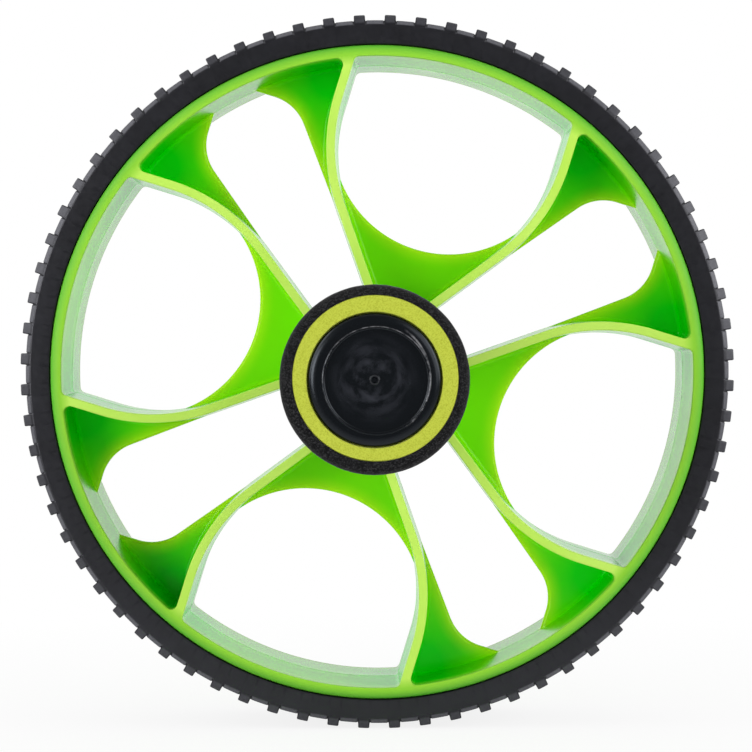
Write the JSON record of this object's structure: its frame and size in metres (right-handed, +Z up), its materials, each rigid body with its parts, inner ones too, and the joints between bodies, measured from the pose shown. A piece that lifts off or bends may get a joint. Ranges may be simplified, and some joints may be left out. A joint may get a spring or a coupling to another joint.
{
  "type": "ab wheel roller",
  "caption": "Hand-held exercise wheel: a wide spoked plastic wheel with a lugged rubber tyre spinning on a tube axle with a foam grip at each end.",
  "frame": {"origin": "centre of the wheel on the axle's centre line", "axes": "+Y along the axle towards the left grip, +Z up, +X the rolling direction"},
  "size_m": [0.185, 0.2972, 0.185],
  "materials": {
    "wheel_plastic": "glossy lime green moulding",
    "tyre_rubber": "matt moulded rubber",
    "axle_steel": "zinc plated tube",
    "bush_nylon": "natural nylon",
    "washer_steel": "zinc plated",
    "collar_plastic": "black moulded plastic",
    "screw_steel": "black oxide",
    "core_foam": "yellow-green closed-cell foam",
    "sleeve_foam": "black closed-cell foam",
    "cap_plastic": "black satin plastic"
  },
  "bodies": {
    "handle": {"axle_tube": "axle_steel", "thrust_washer_left": "washer_steel", "stop_collar_left": "collar_plastic", "collar_screw_left": "screw_steel", "grip_core_left": "core_foam", "grip_sleeve_left": "sleeve_foam", "end_cap_left": "cap_plastic", "thrust_washer_right": "washer_steel", "stop_collar_right": "collar_plastic", "collar_screw_right": "screw_steel", "grip_core_right": "core_foam", "grip_sleeve_right": "sleeve_foam", "end_cap_right": "cap_plastic"},
    "wheel": {"wheel_body": "wheel_plastic", "tyre": "tyre_rubber", "hub_bush_left": "bush_nylon", "hub_bush_right": "bush_nylon"}
  },
  "joints": [
    {"name": "wheel_spin", "type": "hinge", "parent": "handle", "child": "wheel", "pos_m": [0, 0, 0], "axis": [0, 1, 0], "continuous": true}
  ]
}
